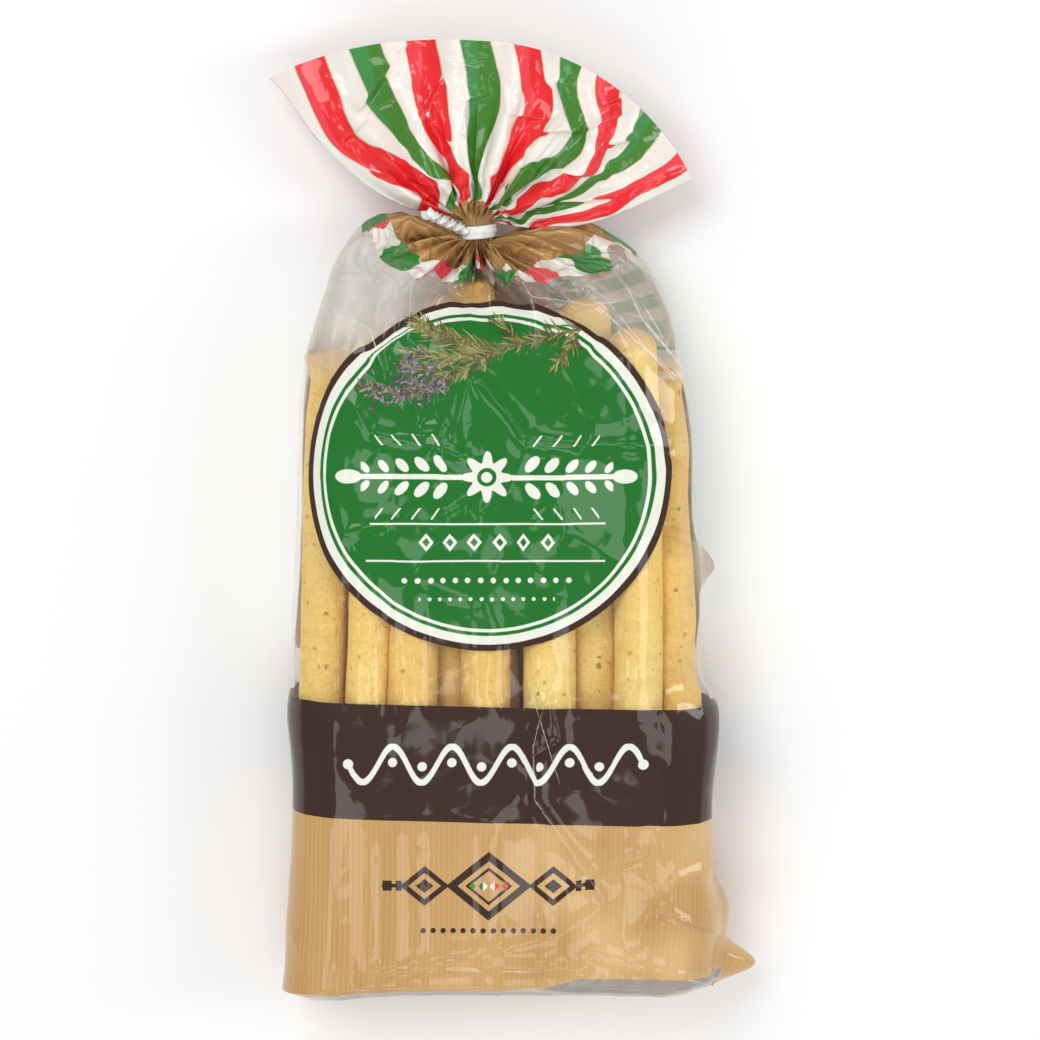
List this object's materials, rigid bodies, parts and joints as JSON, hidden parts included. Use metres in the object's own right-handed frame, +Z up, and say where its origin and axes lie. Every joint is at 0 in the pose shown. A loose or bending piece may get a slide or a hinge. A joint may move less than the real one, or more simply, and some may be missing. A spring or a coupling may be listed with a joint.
{
  "type": "tied bag of breadsticks",
  "caption": "Printed clear film bag filled with breadsticks, gathered and tied at the neck under a fan-shaped head, lying on its back.",
  "frame": {"origin": "middle of the bounding box in plan, on the surface that the pack's back rests on", "axes": "+Y from the base to the head, +Z up through the printed front, +X to the right seen from the front"},
  "size_m": [0.143, 0.2796, 0.0432],
  "materials": {
    "film": "clear film with satin print",
    "tie": "plastic-coated wire, satin",
    "bread": "dry baked crust, matt"
  },
  "bodies": {
    "root": {"bag": "film", "tie": "tie"}
  },
  "joints": []
}
